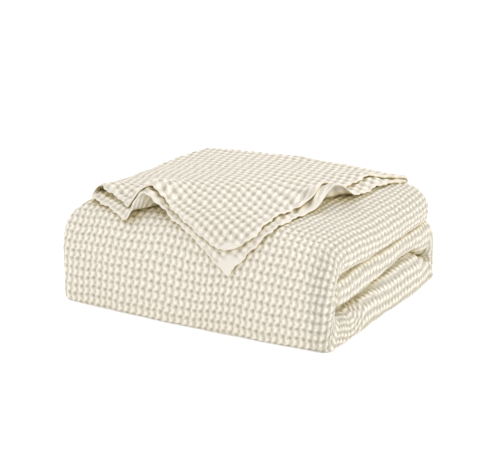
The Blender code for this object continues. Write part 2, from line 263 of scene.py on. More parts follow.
def foot(degrees, depth, middle):
    """The wall's outer face below its middle: down, round a tight corner and back on the floor."""
    if degrees < FOOT_START:
        return FRONT_TURN - depth, mix(middle, FOOT_HEIGHT, degrees / FOOT_START)
    if degrees > FOOT_STOP:
        share = (degrees - FOOT_STOP) / (90 - FOOT_STOP)
        return FRONT_TURN - (depth - FOOT_DEPTH) * (1 - share), 0.0
    turn = 0.5 * pi * (degrees - FOOT_START) / (FOOT_STOP - FOOT_START)
    return FRONT_TURN - depth + FOOT_DEPTH * (1 - cos(turn)), FOOT_HEIGHT * (1 - sin(turn))


def front_wall(share, x):
    angle = pi / 2 - pi * share
    across, along = cos(angle), sin(angle)
    middle = 0.5 * (BOTTOM_TOP + TOP_FLOOR)
    depth = FRONT_TURN - FRONT + FRONT_BULGE * np.maximum(0.0, 1 - (2 * x / WIDTH) ** 2)
    if along > 0:
        reach = top_height(x, FRONT_TURN) - middle
        out, up = squared(across, SHOULDER_SQUARE), squared(along, SHOULDER_SQUARE)
        outer = (FRONT_TURN - depth * out, middle + reach * up)
    else:
        outer = foot(180 * share - 90, depth, middle)
    depth = depth - wall_thickness(x)
    reach = 0.5 * (TOP_FLOOR - BOTTOM_TOP)
    out, up = squared(across, POCKET_SQUARE), squared(along, POCKET_SQUARE)
    return (FRONT_TURN - depth * out, middle + reach * up), outer


def bottom_run(share, x):
    y = mix(FRONT_TURN, BACK_TURN, share)
    return (y, bottom_top(y)), (y, 0.0)


def back_bend(share, x):
    angle = -pi / 2 + pi * share
    square = BACK_SQUARE if angle > 0 else BACK_FOOT_SQUARE
    reach = (BACK - BACK_TURN) * squared(cos(angle), square)
    outer = (BACK_TURN + reach, 0.5 * MIDDLE_TOP * (1 + squared(sin(angle), square)))
    height = bottom_top(BACK_TURN) + RUN_GAP * (0.5 + 0.5 * sin(angle))
    return (BACK_TURN + BACK_INNER * cos(angle), height), outer


def middle_run(share, x):
    y = mix(BACK_TURN, FRONT + wall_thickness(x) + MIDDLE_END_GAP, share)
    pinch = MIDDLE_END_PINCH * ease(2 * share - 1)
    return (y, bottom_top(y) + RUN_GAP + pinch), (y, MIDDLE_TOP - pinch)


STRETCHES = {
    "top": top_run,
    "wall": front_wall,
    "bottom": bottom_run,
    "back": back_bend,
    "middle": middle_run,
}
STRETCH_ORDER = tuple(STRETCHES)


def blended(before, after, share):
    return tuple(mix(a, b, ease(share)) for a, b in zip(before, after))


def side_sizes(stretch, share):
    """The side folds' sizes at a share of a stretch, blended from one stretch into the next."""
    here = SIDES[stretch]
    if stretch == "wall":
        angle = 90 - 180 * share
        here = blended(here, SIDES["top"], (angle - 25) / 60)
        here = blended(here, SIDES["bottom"], (-angle - 40) / 50)
    elif stretch == "bottom":
        here = (np.interp(share, *zip(*BOTTOM_REACH)),) + here[1:]
    elif stretch == "back":
        before = (BOTTOM_REACH[-1][1],) + SIDES["bottom"][1:]
        here = blended(before[:4], here[:4], 5 * share) + blended(before[4:], here[4:], 2 * share)
    elif stretch == "middle":
        here = blended(SIDES["back"], here, 3 * share)
    else:
        drawn_in = END_ROUND * (1 - ease(0.5 + 5 * share)) * 2
        here = (here[0] - drawn_in, here[1], here[2] - drawn_in / 2) + here[3:]
    return here


def layer_face(layer, outside):
    above = (layer >= LAYERS / 2) == outside
    return (layer + (1 - GAP_SHARE if above else 0)) * PITCH


def on_strip(station, x, height, right, right_round):
    """Points at those places across and heights, at a station along the strip."""
    stretch, share = station
    inner, outer = STRETCHES[stretch](share, x)
    points = np.empty(x.shape + (3,))
    points[..., 0] = x
    points[..., 1] = mix(inner[0], outer[0], height)
    points[..., 2] = mix(inner[1], outer[1], height)
    if stretch == "top":
        droop = SIDE_DROOP * ease(5 - 5 * share)
        points[..., 2] -= droop * (np.maximum(0.0, x - right) / right_round) ** 2
    return points


def evenly(points, cells):
    """The same curve with its points evenly spaced, so many cells long."""
    length = path_length(points)
    return read_curve(np.linspace(0, length[-1], cells + 1), length, points)


def read_curve(spots, length, points):
    """Points at those places along a curve, where length is the way to each of its own points."""
    return np.stack([np.interp(spots, length, values) for values in points.T], axis=1)


def path_length(points):
    return np.concatenate(([0.0], np.cumsum(np.linalg.norm(np.diff(points, axis=0), axis=1))))


def path_lengths(rows):
    return np.array([path_length(row) for row in rows])


def strip_row(station, runs, outside):
    """One row of points across the strip, through its panels and side folds in turn.

    A run is ("panel", layer, shares from the left) or (side, upper layer, cells). Side folds go
    from their inner end to their outer one on the right and the other way on the left.
    """
    right_reach, right_round, left_reach, left_round, inside, outer_square = side_sizes(*station)
    right, left = right_reach - right_round, left_round - left_reach
    row = []
    for kind, layer, spots in runs:
        height = layer_face(layer, outside)
        if kind == "panel":
            x = mix(left, right, np.asarray(spots))
            points = on_strip(station, x, np.full(x.shape, height), right, right_round)
        else:
            centre = 0.5 + (PITCH if kind == "left" else 0.0)
            size = height - centre
            angle = pi * (ease(np.linspace(0, 1, FOLD_SAMPLES)) - 0.5)
            square = np.where(angle > 0, outer_square, inside)
            up = centre + size * squared(np.sin(angle), square)
            out = size / (1 - centre) * squared(np.maximum(np.cos(angle), 0.0), square)
            x = left - left_round * out if kind == "left" else right + right_round * out
            points = evenly(on_strip(station, x, up, right, right_round), spots)
            if kind == "left":
                points = points[::-1]
        row.append(points if not row else points[1:])
    return np.concatenate(row)


def even_stations(stretch, spacing):
    """Stations of a stretch that lie evenly along its outer face, and how far along they are."""
    shares = np.linspace(0, 1, 401)
    faces = [STRETCHES[stretch](share, np.zeros(1))[1] for share in shares]
    length = path_length(np.array([[float(np.ravel(value)[0]) for value in face] for face in faces]))
    cells = max(2, round(length[-1] / spacing))
    spots = np.linspace(0, length[-1], cells + 1)
    return [(stretch, float(share)) for share in np.interp(spots, length, shares)], spots


def strip_faces(stations, runs, sides=(True, False)):
    """Rows of points over the stations for each side, where True stands for the strip's outside."""
    return [np.array([strip_row(station, runs, outside) for station in stations]) for outside in sides]


def outer_runs(panel_cells):
    """The layer that wraps the strip on its outside: right fold, panel and left fold."""
    return (
        ("right", 7, RIGHT_CELLS),
        ("panel", 7, np.linspace(1, 0, panel_cells + 1)),
        ("left", 7, LEFT_CELLS),
    )


# ---- The loose corner


def smooth_curve(table, column):
    """A smooth curve through one column of a table whose first column is the share."""
    table = np.array(table)
    x, y = table[:, 0], table[:, column]
    slope = np.diff(y) / np.diff(x)
    tangent = np.empty(len(x))
    tangent[0], tangent[-1] = slope[0], slope[-1]
    before, after = slope[:-1], slope[1:]
    same_way = before * after > 0
    tangent[1:-1] = np.where(same_way, 2 * before * after / np.where(same_way, before + after, 1), 0)

    def curve(share):
        spot = np.clip(np.searchsorted(x, share, side="right") - 1, 0, len(x) - 2)
        step = x[spot + 1] - x[spot]
        t = (share - x[spot]) / step
        return (
            (1 + 2 * t) * (1 - t) ** 2 * y[spot]
            + t * (1 - t) ** 2 * step * tangent[spot]
            + t * t * (3 - 2 * t) * y[spot + 1]
            - t * t * (1 - t) * step * tangent[spot + 1]
        )

    return curve


class OuterFace:
    """The strip's outer face over the top and down the front, read by the way over it."""

    ACROSS = np.linspace(-0.24, 0.24, 193)
    FORWARD = np.linspace(0.0, 0.16, 161)
    REACH = 0.004

    def __init__(self):
        shares = np.linspace(0, 0.8, 241)
        faces = [front_wall(share, self.ACROSS)[1] for share in shares]
        curves = np.array([[np.broadcast_to(v, self.ACROSS.shape) for v in face] for face in faces])
        self.table = np.array(
            [read_curve(self.FORWARD, path_length(curve), curve) for curve in np.moveaxis(curves, 2, 0)]
        )

    @staticmethod
    def line_before(place, lines):
        """The line before each place, and its share of the way on to the next line."""
        place = (place - lines[0]) / (lines[1] - lines[0])
        line = np.clip(place.astype(int), 0, len(lines) - 2)
        return line, (place - line)[..., None]

    def look_up(self, x, forward):
        """Points (y, z) in the table, between its lines."""
        (a, u), (b, v) = self.line_before(x, self.ACROSS), self.line_before(forward, self.FORWARD)
        near = mix(self.table[a, b], self.table[a, b + 1], v)
        return mix(near, mix(self.table[a + 1, b], self.table[a + 1, b + 1], v), u)

    def point_and_normal(self, x, forward):
        over = np.maximum(forward, 0.0)
        spot = self.look_up(x, over)
        behind = np.maximum(over - self.REACH, 0)
        run = unit(self.look_up(x, over + self.REACH) - self.look_up(x, behind))
        flat = forward <= 0
        y = FRONT_TURN - forward
        return (
            np.where(flat, y, spot[..., 0]),
            np.where(flat, top_height(x, y), spot[..., 1]),
            np.where(flat, 0.0, run[..., 1]),
            np.where(flat, 1.0, -run[..., 0]),
        )


OUTER_FACE = OuterFace()


def hump_height(across, forward, level):
    height = np.zeros(np.shape(across))
    for mid_across, mid_forward, top, left, right, backs, front in HUMPS:
        beside, ahead = across - mid_across, forward - mid_forward
        beside = beside / np.where(beside < 0, left, right)
        ahead = ahead / np.where(ahead < 0, backs[level], front)
        height += top * np.exp(-beside * beside - ahead * ahead)
    middle, lift, spread, depth = LEFT_END_LIFT
    return height + level * lift * np.exp(-(((across - middle) / spread) ** 2) - (forward / depth) ** 2)


def over_body(across, forward, height):
    """Points that far off the folded body, where across bends down round the left side."""
    turn = np.maximum(0.0, LEFT_TURN - across) / LEFT_ROUND
    arm = LEFT_ROUND + height
    x = np.where(turn > 0, LEFT_TURN - arm * np.sin(turn), across)
    height = np.where(turn > 0, arm * np.cos(turn) - LEFT_ROUND, height)
    y, z, out, up = OUTER_FACE.point_and_normal(x, forward)
    return np.stack((x, y + out * height, z + up * height), axis=-1)


def hem_patch(level):
    """A level's map from its shares, from the left and from the back, to across and forward."""
    front, right = [
        [smooth_curve(table, axis + 2 * level) for axis in (1, 2)] for table in (FRONT_HEM, RIGHT_HEM)
    ]
    left_across = smooth_curve(LEFT_EDGE, 1)
    root = FRONT_TURN - TOP_END
    backs = (left_across(0.0), right[0](0.0)), (root, root)
    fronts = [(front[axis](0.0), front[axis](1.0)) for axis in (0, 1)]

    def patch(p, q):
        left = mix(left_across(q), fronts[0][0], q * q), mix(root, fronts[1][0], q)
        across, forward = (
            mix(left[axis], right[axis](q), p)
            + mix(mix(*backs[axis], p), front[axis](p), q)
            - mix(mix(*backs[axis], p), mix(*fronts[axis], p), q)
            for axis in (0, 1)
        )
        from_tip = (1 - p) * CORNER_WIDTH + (1 - q) * CORNER_LENGTH
        return across, forward - BLUNT_TIPS[level] * np.exp(-from_tip / BLUNT_REACH)

    return patch


def turned_back(level, p):
    """A turned back layer's places across, the height it turns round, and its two faces' arms."""
    right_reach, right_round, left_reach, left_round = side_sizes("top", 0.0)[:4]
    layer = LAYERS - 1 - level
    x = mix(left_round - left_reach, right_reach - right_round, p)
    thickness = top_height(x, TOP_END) - TOP_FLOOR
    top = top_height(x, TOP_END) + 0.5 * GAP_SHARE * PITCH * thickness
    faces = (layer_face(layer, outside) for outside in (True, False))
    return x, top, [top - TOP_FLOOR - face * thickness for face in faces]


def forward_of_edge(level, p, q, offset, under=False):
    """Points of a loose layer forward of the back edge, that far off the body and its humps.

    under is true for a face towards the body, which comes down sooner inside the humps.
    """
    across, forward = hem_patch(level)(p, q)
    humps = hump_height(across, forward, level)
    if under:
        inward = np.minimum((1 - p) * CORNER_WIDTH, (1 - q) * CORNER_LENGTH) - UNDER_HEM
        kept = np.exp(-((np.maximum(0, inward) / UNDER_DIVE) ** 2))
        humps = mix(level * (hump_height(across, forward, 0) - UNDER_CLOSE), humps, kept)
    return over_body(across, forward, offset + CORNER_CLEARANCE[level] * ease(4 * q) + humps)


def corner_layer(level, p, turns, q, offset_share, under=False):
    """A loose layer's surface: round the back edge by the turns, then forward by the shares q.

    offset_share is 1 on the face that is away from the body and 0 on the one towards it.
    """
    x, top, arms = turned_back(level, p)
    radius, angle = mix(*arms, offset_share[: len(turns)]), turns[:, None]
    y, z = TOP_END + ROOT_LOOSENESS * radius * np.cos(angle), top + radius * np.sin(angle)
    root = np.stack((np.broadcast_to(x, radius.shape), y, z), axis=-1)
    offset = mix(*arms, offset_share[len(turns) :])
    p, q = np.broadcast_arrays(p[None, :], q[:, None])
    return np.concatenate((root, forward_of_edge(level, p, q, offset, under)))


# ---- Cloth

# The weave's mean height and its waves: across, along, their product and the second one along
FACE_WAVES = (0.55, 0.21, 0.15, 0.28, 0.05)
REVERSE_WAVES = (0.51, 0.24, 0.24, 0.04, 0.0)
# In the colour, the waves' product with this offset also paints the shade and highlight that side light
# gives the crowns.
ROW_OFFSET = 1.38  # how far the rows' crowns stand beside one another
WALL_LEAN = 0.20  # cells that the columns lean over in one cell's length down the wall
CELLS = {  # for each stretch: its cells' length, their width on the right fold, how open they are
    "top": (0.88, 0.85, 0.50),
    "wall": (1.0, 0.85, 0.0),
    "bottom": (0.76, 1.30, 0.0),
    "back": (0.80, 1.15, 0.0),
    "middle": (0.76, 1.20, 0.0),
}
FOLD_OPENNESS = 0.80  # on the right fold
NARROWED = (-0.02, 0.20)  # from which place across, and over how much, the cells narrow to the right
FOLD_START = (0.165, 0.02)  # from which place, and over how much, the right fold's cells take over
OPEN_SHARE = 0.8  # of the waves' product that an open cell loses
OPEN_DEPTH = 0.3  # how much deeper an open cell's relief is
PIT_ROOM = 0.55  # of the cloth's thickness, the deepest that a pit may go
# Slow waves over the cells: height, radians to a cell across and along, start
DENTS = ((1.0, 0.9, 0.5, 0.4), (1.0, -0.7, 1.3, 1.9))
CROSSED_DENTS = ((1.0, 0.47, -1.05, 0.0), (1.0, 1.7, 0.0, 0.3))
WAVER_ACROSS = ((0.14, 0.31, 0.23, 0.0), (0.09, -0.17, 0.53, 1.3), (0.05, 0.8, 1.9, 0.0))
WAVER_ALONG = ((0.14, -0.36, 0.27, 0.7), (0.08, 0.61, 0.0, 0.2), (0.05, 1.7, -0.6, 2.0))


def near(distance, reach, soft):
    """1 up to that reach and 0 beyond it, over a soft way between."""
    return 1 - rise(distance, reach, soft)


def rounded(distance, least=0.0):
    """The share of its thickness that cloth has at that distance from a rounded edge."""
    return np.sqrt(np.clip(1 - (1 - np.clip(distance / HEM_ROUND, 0, 1)) ** 2, least, 1))


def face_normals(outer, inner):
    """The outer face's normals, pointing away from the inner face."""
    normals = unit(np.cross(np.gradient(outer, axis=1), np.gradient(outer, axis=0)))
    away = np.sum(normals * (outer - inner), axis=-1, keepdims=True)
    return normals * (1 if away.sum() > 0 else -1)


def weave_level(u, v, waves, openness=0.0):
    """The weave's height, from 0 in its pits to 1 on its crowns, of arrays or of Shades."""
    mean, across, along, product, second = waves
    product = (1 - OPEN_SHARE * openness) * product * np.cos(tau * u + ROW_OFFSET) * np.cos(tau * v)
    single = mean + across * np.cos(tau * u) + along * np.cos(tau * v)
    return single + product - second * np.cos(2 * tau * v)


def woven(outer, inner, weave, waves, cloth, openness=0.0):
    """The outer face with its waffle relief, which is calmer in the hems and deeper in open cells."""
    u, v, hem = weave[..., 0], weave[..., 1], weave[..., 2]
    level = np.clip(weave_level(u, v, waves, openness), 0, 1)
    relief = 1 - 2 * (1 - level) ** cloth.sharpness
    room = np.linalg.norm(outer - inner, axis=-1)
    depth = np.minimum(cloth.relief, np.where(relief < 0, PIT_ROOM * room, 1.0))
    lift = relief * depth * (1 - cloth.hem_calm * hem) * (1 + OPEN_DEPTH * openness)
    lift += cloth.hem_lift * hem
    crossed = slow_waves(u, v, CROSSED_DENTS[:1]) * slow_waves(u, v, CROSSED_DENTS[1:])
    dents = slow_waves(u, v, DENTS) + crossed
    lift += cloth.unevenness * (dents / 3)
    return outer + face_normals(outer, inner) * lift[..., None]


def wobble(u, v):
    """The weave's coordinates with a slight waver of its lines."""
    return u + slow_waves(u, v, WAVER_ACROSS), v + slow_waves(u, v, WAVER_ALONG)


def coarse_lines(count, step):
    """The lines of a fine grid that a turned away face keeps: its edges and some between."""
    return sorted({*range(0, count, step), *range(4), *range(count - 4, count)})


def grid_cells(numbers):
    """The four corners of each cell of a grid of point numbers."""
    corners = (numbers[:-1, :-1], numbers[:-1, 1:], numbers[1:, 1:], numbers[1:, :-1])
    return np.stack(corners, axis=-1)


def closed_cloth(name, outer, inner, weave, openness=0.0, step=COARSE_STEP, inner_weave=None):
    """A closed piece of cloth: a fine outer face, a coarse inner one and a rim all round.

    weave has each point's cells across and along and its share of a hem; inner_weave has them for
    the inner face, where they differ. step is how many fine lines a coarse one stands for.
    """
    inner_weave = weave if inner_weave is None else inner_weave
    rows, columns = outer.shape[:2]
    fine = np.arange(rows * columns).reshape(rows, columns)
    kept_rows, kept_columns = coarse_lines(rows, step), coarse_lines(columns, step)
    grid = np.ix_(kept_rows, kept_columns)
    coarse = rows * columns + np.arange(len(kept_rows) * len(kept_columns))
    coarse = coarse.reshape(len(kept_rows), len(kept_columns))
    faces = grid_cells(fine).reshape(-1, 4).tolist()
    faces += grid_cells(coarse).reshape(-1, 4)[:, ::-1].tolist()
    sides = (
        (fine[0], coarse[0], kept_columns, False),
        (fine[-1], coarse[-1], kept_columns, True),
        (fine[:, 0], coarse[:, 0], kept_rows, True),
        (fine[:, -1], coarse[:, -1], kept_rows, False),
    )
    for edge, far, kept, forward in sides:
        for number, (a, b) in enumerate(zip(kept, kept[1:])):
            rim = edge[a : b + 1].tolist() + [int(far[number + 1]), int(far[number])]
            faces.append(rim if forward else rim[::-1])
    points = np.concatenate((outer.reshape(-1, 3), inner[grid].reshape(-1, 3)))
    middle = rows // 2, columns // 2
    a, b, c = outer[middle], outer[middle[0], middle[1] + 1], outer[middle[0] + 1, middle[1]]
    if np.dot(np.cross(b - a, c - a), a - inner[middle]) < 0:
        faces = [face[::-1] for face in faces]
    facts = np.concatenate((weave.reshape(-1, 3), inner_weave[grid].reshape(-1, 3)))
    plain = np.arange(len(points)) >= rows * columns
    openness = np.broadcast_to(openness, (rows, columns))
    openness = np.concatenate((openness.ravel(), np.zeros(len(points) - rows * columns)))
    return cloth_object(name, points, faces, facts, plain, openness)


def cloth_object(name, points, faces, facts, plain, openness=0.0):
    """A piece in the part's centred frame, with its weave coordinates stored on its points.

    plain is true at the points of a face that has no relief of its own. openness is 1 where the
    cells are drawn wide open.
    """
    points = points.copy()
    points[:, 0] -= CENTRE_SHIFT[0]
    points[:, 1] -= CENTRE_SHIFT[1]
    points[:, 2] = np.maximum(points[:, 2], 0.0)
    mesh = bpy.data.meshes.new(name)
    mesh.from_pydata(points, [], faces)
    stored = mesh.attributes.new("weave", "FLOAT_VECTOR", "POINT")
    stored.data.foreach_set("vector", facts.astype(np.float32).ravel())
    for attribute, values in (("plain", plain), ("openness", openness)):
        stored = mesh.attributes.new(attribute, "FLOAT", "POINT")
        stored.data.foreach_set("value", np.broadcast_to(values, len(points)).astype(np.float32))
    mesh.shade_smooth()
    mesh.set_sharp_from_angle(angle=radians(62))
    return new_object(name, mesh)


def new_object(name, data):
    made = bpy.data.objects.new(name, data)
    bpy.context.scene.collection.objects.link(made)
    return made


def declare(piece, cotton, flat, rests_on, **more):
    """Gives a sheet its finish and its place in the part; more is not used."""
    piece.data.materials.append(cotton)
    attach(piece, BODY)
    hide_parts(NODE)


# ---- Finishes


class Shade:
    """A value that varies over the surface; arithmetic on it adds Math nodes to its finish."""

    def __init__(self, finish, socket):
        self.finish, self.socket = finish, socket

    def other(self, name):
        return Shade(self.finish, self.socket.node.outputs[name])

    def math(self, operation, *values):
        return self.finish.add("ShaderNodeMath", {"operation": operation}, dict(enumerate(values)))

    def __add__(self, value):
        return self.math("ADD", self, value)

    __radd__ = __add__

    def __sub__(self, value):
        return self.math("SUBTRACT", self, value)

    def __rsub__(self, value):
        return self.math("SUBTRACT", value, self)

    def __mul__(self, value):
        return self.math("MULTIPLY", self, value)

    __rmul__ = __mul__

    def cos(self):
        return self.math("COSINE", self)

    def within(self):
        return self.math("MAXIMUM", self.math("MINIMUM", self, 1.0), 0.0)


class Finish:
    """A material, and the one way in which its nodes are made."""

    def __init__(self, name, roughness=0.9, sheen=0.0, specular=0.25):
        self.material = bpy.data.materials.new(name)
        self.material.use_nodes = True
        self.tree = self.material.node_tree
        self.shader = self.tree.nodes["Principled BSDF"]
        self.shader.inputs["Roughness"].default_value = roughness
        self.shader.inputs["Specular IOR Level"].default_value = specular
        self.shader.inputs["Sheen Weight"].default_value = sheen
        self.shader.inputs["Sheen Roughness"].default_value = 0.6

    def add(self, kind, settings=None, values=None, output=0):
        node = self.tree.nodes.new(kind)
        for name, value in (settings or {}).items():
            if name == "stops":
                ramp = node.color_ramp.elements
                while len(ramp) < len(value):
                    ramp.new(0.5)
                for stop, (position, colour) in zip(ramp, value):
                    stop.position, stop.color = position, colour
            else:
                setattr(node, name, value)
        for name, value in (values or {}).items():
            self.feed(node.inputs[name], value)
        return Shade(self, node.outputs[output])

    def feed(self, socket, value):
        if isinstance(value, Shade):
            self.tree.links.new(value.socket, socket)
        else:
            socket.default_value = value

    def blend(self, share, low, high, way="MIX"):
        settings = {"data_type": "RGBA", "blend_type": way}
        return self.add("ShaderNodeMix", settings, {0: share, 6: low, 7: high}, output=2)

    def noise(self, place, scale, detail=2.0):
        return self.add("ShaderNodeTexNoise", None, {"Vector": place, "Scale": scale, "Detail": detail})

    def bump(self, height, distance, strength=1.0, over=None):
        values = {"Height": height, "Distance": distance, "Strength": strength}
        if over is not None:
            values["Normal"] = over
        return self.add("ShaderNodeBump", None, values)

    def show(self, colour, normal=None):
        self.feed(self.shader.inputs["Base Color"], colour)
        if normal is not None:
            self.feed(self.shader.inputs["Normal"], normal)
        return self.material


def rgba(colour):
    return (*colour, 1.0)


# The finish. Blotches in the spun yarn and from cell to cell: how many to a cell, their detail, and
# their share of the weave's height
SLUB = (3.8, 3.0, 1.05)
CELL_TONE = (1.3, 1.0, 0.20)
# The weave's colours by its height: the olive of the pits and slopes is painted shade, the brightness of
# the crowns painted highlight.
STOPS = {"pit": 0.0, "slope": 0.22, "ridge": 0.52, "crown": 0.90}  # heights of the weave's colours
# The first of these paints shade into the pits of cells drawn wide open on the folds.
OPEN_PIT_SHADE_BLEND = 0.75  # how far the other colours cover those
HEM_BLEND = 0.30
EDGE_BLEND = 0.75
GRAIN_BLEND = 0.22
FLUFF = (900.0, 3.0)  # to a metre, and its detail
YARN_SHARE = 0.8  # of the grain
FLUFF_SHARE = 0.5
GRAIN_DEPTH = 0.0004
GRAIN_STRENGTH = 0.8
SLUB_DEPTH = 2.0  # of the slub, as a share of the grain's
THREAD = (1500.0, 1.0)  # the thread's strands to a metre, and their detail
THREAD_DEPTH = 0.0001
CREASE = 0.020  # how near other cloth has to be to shade a crease
CREASE_START = 0.15  # how much of the sky it has to hide
CREASE_GAIN = 1.3
CREASE_RISE = 70.0  # how soon above the bright floor that starts, to a metre


def waffle_cotton(name, waves, colours, cloth):
    """Cream waffle weave with pale ridges and a fine yarn grain, painted shade in its olive pits and
    painted highlight on its bright crowns; open cells and creases get painted shade too.
    """
    finish = Finish(name, roughness=0.92, sheen=colours.sheen)
    place = finish.add("ShaderNodeTexCoord", output="Object")
    weave, plain, openness = (
        finish.add("ShaderNodeAttribute", {"attribute_name": stored}, output=output)
        for stored, output in (("weave", "Vector"), ("plain", "Fac"), ("openness", "Fac"))
    )
    u = finish.add("ShaderNodeSeparateXYZ", None, {0: weave})
    v, hem = u.other("Y"), u.other("Z")
    level = weave_level(u, v, waves, openness).within()
    slub, cell = (finish.noise(weave, *tone[:2]) - 0.5 for tone in (SLUB, CELL_TONE))
    shown = (level + slub * SLUB[2] + cell * CELL_TONE[2]).within()
    # Painted shade towards the pits and painted highlight on the crowns, by the weave's height
    stops = [(height, rgba(getattr(colours, stop))) for stop, height in STOPS.items()]
    colour = finish.add("ShaderNodeValToRGB", {"stops": stops}, {0: shown})
    yarn = np.cos(u * (tau * cloth.yarns)) * np.cos(v * (tau * cloth.yarns)) * 0.5 + 0.5
    grain = yarn * YARN_SHARE + finish.noise(place, *FLUFF) * FLUFF_SHARE
    for share, cover in (
        # Painted shade: the pits of cells drawn wide open are darkened towards the deep olive
        (openness * (1 - shown) * OPEN_PIT_SHADE_BLEND, colours.deep),
        (hem * HEM_BLEND, colours.hem),
        ((hem - 1) * EDGE_BLEND, colours.edge),
        ((1 - grain) * GRAIN_BLEND, colours.pit),
    ):
        colour = finish.blend(share.within(), colour, rgba(cover))
    # Painted shade: the colour is multiplied towards olive where other cloth near by hides the sky, in
    # creases and between the layers, fading out just above the floor
    open_sky = finish.add("ShaderNodeAmbientOcclusion", {"samples": 8}, {"Distance": CREASE}, output="AO")
    height = finish.add("ShaderNodeSeparateXYZ", None, {0: place}, output=2)
    painted_crease_shade = ((1 - open_sky) * CREASE_GAIN - CREASE_START).within()
    painted_crease_shade = painted_crease_shade * (height * CREASE_RISE - CREASE_START).within()
    colour = finish.blend(painted_crease_shade, colour, rgba(colours.shade), "MULTIPLY")
    normal = finish.bump(grain + slub * SLUB_DEPTH, GRAIN_DEPTH, GRAIN_STRENGTH)
    normal = finish.bump(level * plain * (1 - hem * cloth.hem_calm), 2 * cloth.relief, 1.0, normal)
    return finish.show(colour, normal)


def stitch_cotton(name, colours):
    """Sewing thread: a pale twisted strand."""
    finish = Finish(name, roughness=0.8, sheen=colours.sheen)
    place = finish.add("ShaderNodeTexCoord", output="Object")
    strand = finish.noise(place, *THREAD)
    colour = finish.blend(strand, rgba(colours.slope), rgba(colours.thread))
    return finish.show(colour, finish.bump(strand, THREAD_DEPTH))


# ---- Settings


def settings_of(kind, **limits):
    """Makes settings of one kind, each from its name, description and default."""
    return lambda name, description, default: kind(
        name=name, description=description, default=default, **limits
    )


length_setting = settings_of(FloatProperty, min=0.0, precision=4, subtype="DISTANCE", unit="LENGTH")
share_setting = settings_of(FloatProperty, min=0.0, max=1.0, subtype="FACTOR")
angle_setting = settings_of(FloatProperty, subtype="ANGLE", unit="ROTATION")
strength_setting = settings_of(FloatProperty, min=0.0)
power_setting = settings_of(FloatProperty, min=0.0, unit="POWER")
colour_setting = settings_of(FloatVectorProperty, size=3, min=0.0, max=1.0, subtype="COLOR")
exponent_setting = settings_of(FloatProperty, min=0.5, max=4.0)
count_setting = settings_of(IntProperty, min=2, max=40)


class BlanketCloth(bpy.types.PropertyGroup):
    """The sizes of the weave and of the hems"""

    across: length_setting("Cell across", "Width of one waffle cell, across the strip", 0.0097)
    along: length_setting("Cell along", "Length of one waffle cell, along the strip", 0.0123)
    relief: length_setting("Relief", "How far crowns and pits stand off the cloth's middle", 0.0011)
    sharpness: exponent_setting("Sharpness", "Above 1 the pits are narrower and the crowns broader", 1.5)
    yarns: count_setting("Yarns", "Yarns in one waffle cell", 5)
    unevenness: length_setting("Unevenness", "Depth of the soft dents between the folds", 0.0007)
    hem_width: length_setting("Hem width", "Width of the turned hems", 0.0065)
    hem_lift: length_setting("Hem lift", "How far the hem stands above the cloth's middle", 0.0004)
    hem_calm: share_setting("Hem calm", "Share of the relief that a hem loses", 0.3)
    scallop: length_setting("Scallop", "How far the weave draws the hem's edge in and out", 0.0009)
    stitch_pitch: length_setting("Stitch pitch", "From one hem stitch to the next", 0.0040)
    stitch_length: length_setting("Stitch length", "Length of one hem stitch", 0.0030)
    stitch_width: length_setting("Stitch width", "Thickness of the sewing thread", 0.0008)


class BlanketColours(bpy.types.PropertyGroup):
    """The colours of the cotton"""

    # shade is what painted shade in creases and recesses multiplies the colour by
    shade: colour_setting("Shade", "What the colour is multiplied by in a deep crease", (0.98, 0.90, 0.56))
    # deep is painted shade in the pits of cells drawn wide open
    deep: colour_setting("Deep", "Pits of cells that are drawn wide open", (0.295, 0.278, 0.222))
    # Pit and slope hold painted shade over the cream cotton, and crown a painted highlight.
    pit: colour_setting("Pit", "Bottom of the waffle cells", (0.385, 0.35, 0.272))
    slope: colour_setting("Slope", "Sides of the waffle cells", (0.525, 0.485, 0.40))
    ridge: colour_setting("Ridge", "Ridges between the cells", (0.662, 0.613, 0.53))
    crown: colour_setting("Crown", "Crowns where the ridges cross", (0.87, 0.82, 0.725))
    hem: colour_setting("Hem", "Turned hems", (0.79, 0.74, 0.66))
    edge: colour_setting("Edge", "Edges of the hems, and where two cross", (0.78, 0.725, 0.65))
    thread: colour_setting("Thread", "Sewing thread of the hems", (0.78, 0.74, 0.68))
    sheen: share_setting("Sheen", "Soft shine of the cotton's fluff", 0.12)


class BlanketStage(bpy.types.PropertyGroup):
    """The floor, the light and the camera"""

    floor_size: length_setting("Floor size", "Side of the square floor", 14.0)
    floor_glow: strength_setting("Floor glow", "Light that the pale floor gives off", 0.20)
    sky: strength_setting("Sky", "Strength of the soft light from all round", 1.09)
    key: power_setting("Key light", "Power of the large soft lamp", 8.0)
    fill: power_setting("Fill light", "Power of the low lamp at the right", 13.0)
    azimuth: angle_setting("Azimuth", "Camera's turn round the blanket", radians(28.7))
    elevation: angle_setting("Elevation", "Camera's height above the horizon", radians(17.5))
    roll: angle_setting("Roll", "Camera's lean", radians(0.48))
    distance: length_setting("Distance", "From the camera to the blanket's middle", 1.796)


# ---- Pieces


TAKE_UP = 1.05  # the flat cloth in a length of it with its relief


def flat_size(outer):
    """The flat size of a piece, across and along."""
    across = np.linalg.norm(np.diff(outer, axis=1), axis=-1).sum(axis=1).mean()
    along = np.linalg.norm(np.diff(outer, axis=0), axis=-1).sum(axis=0).mean()
    return float(across) * TAKE_UP, float(along) * TAKE_UP


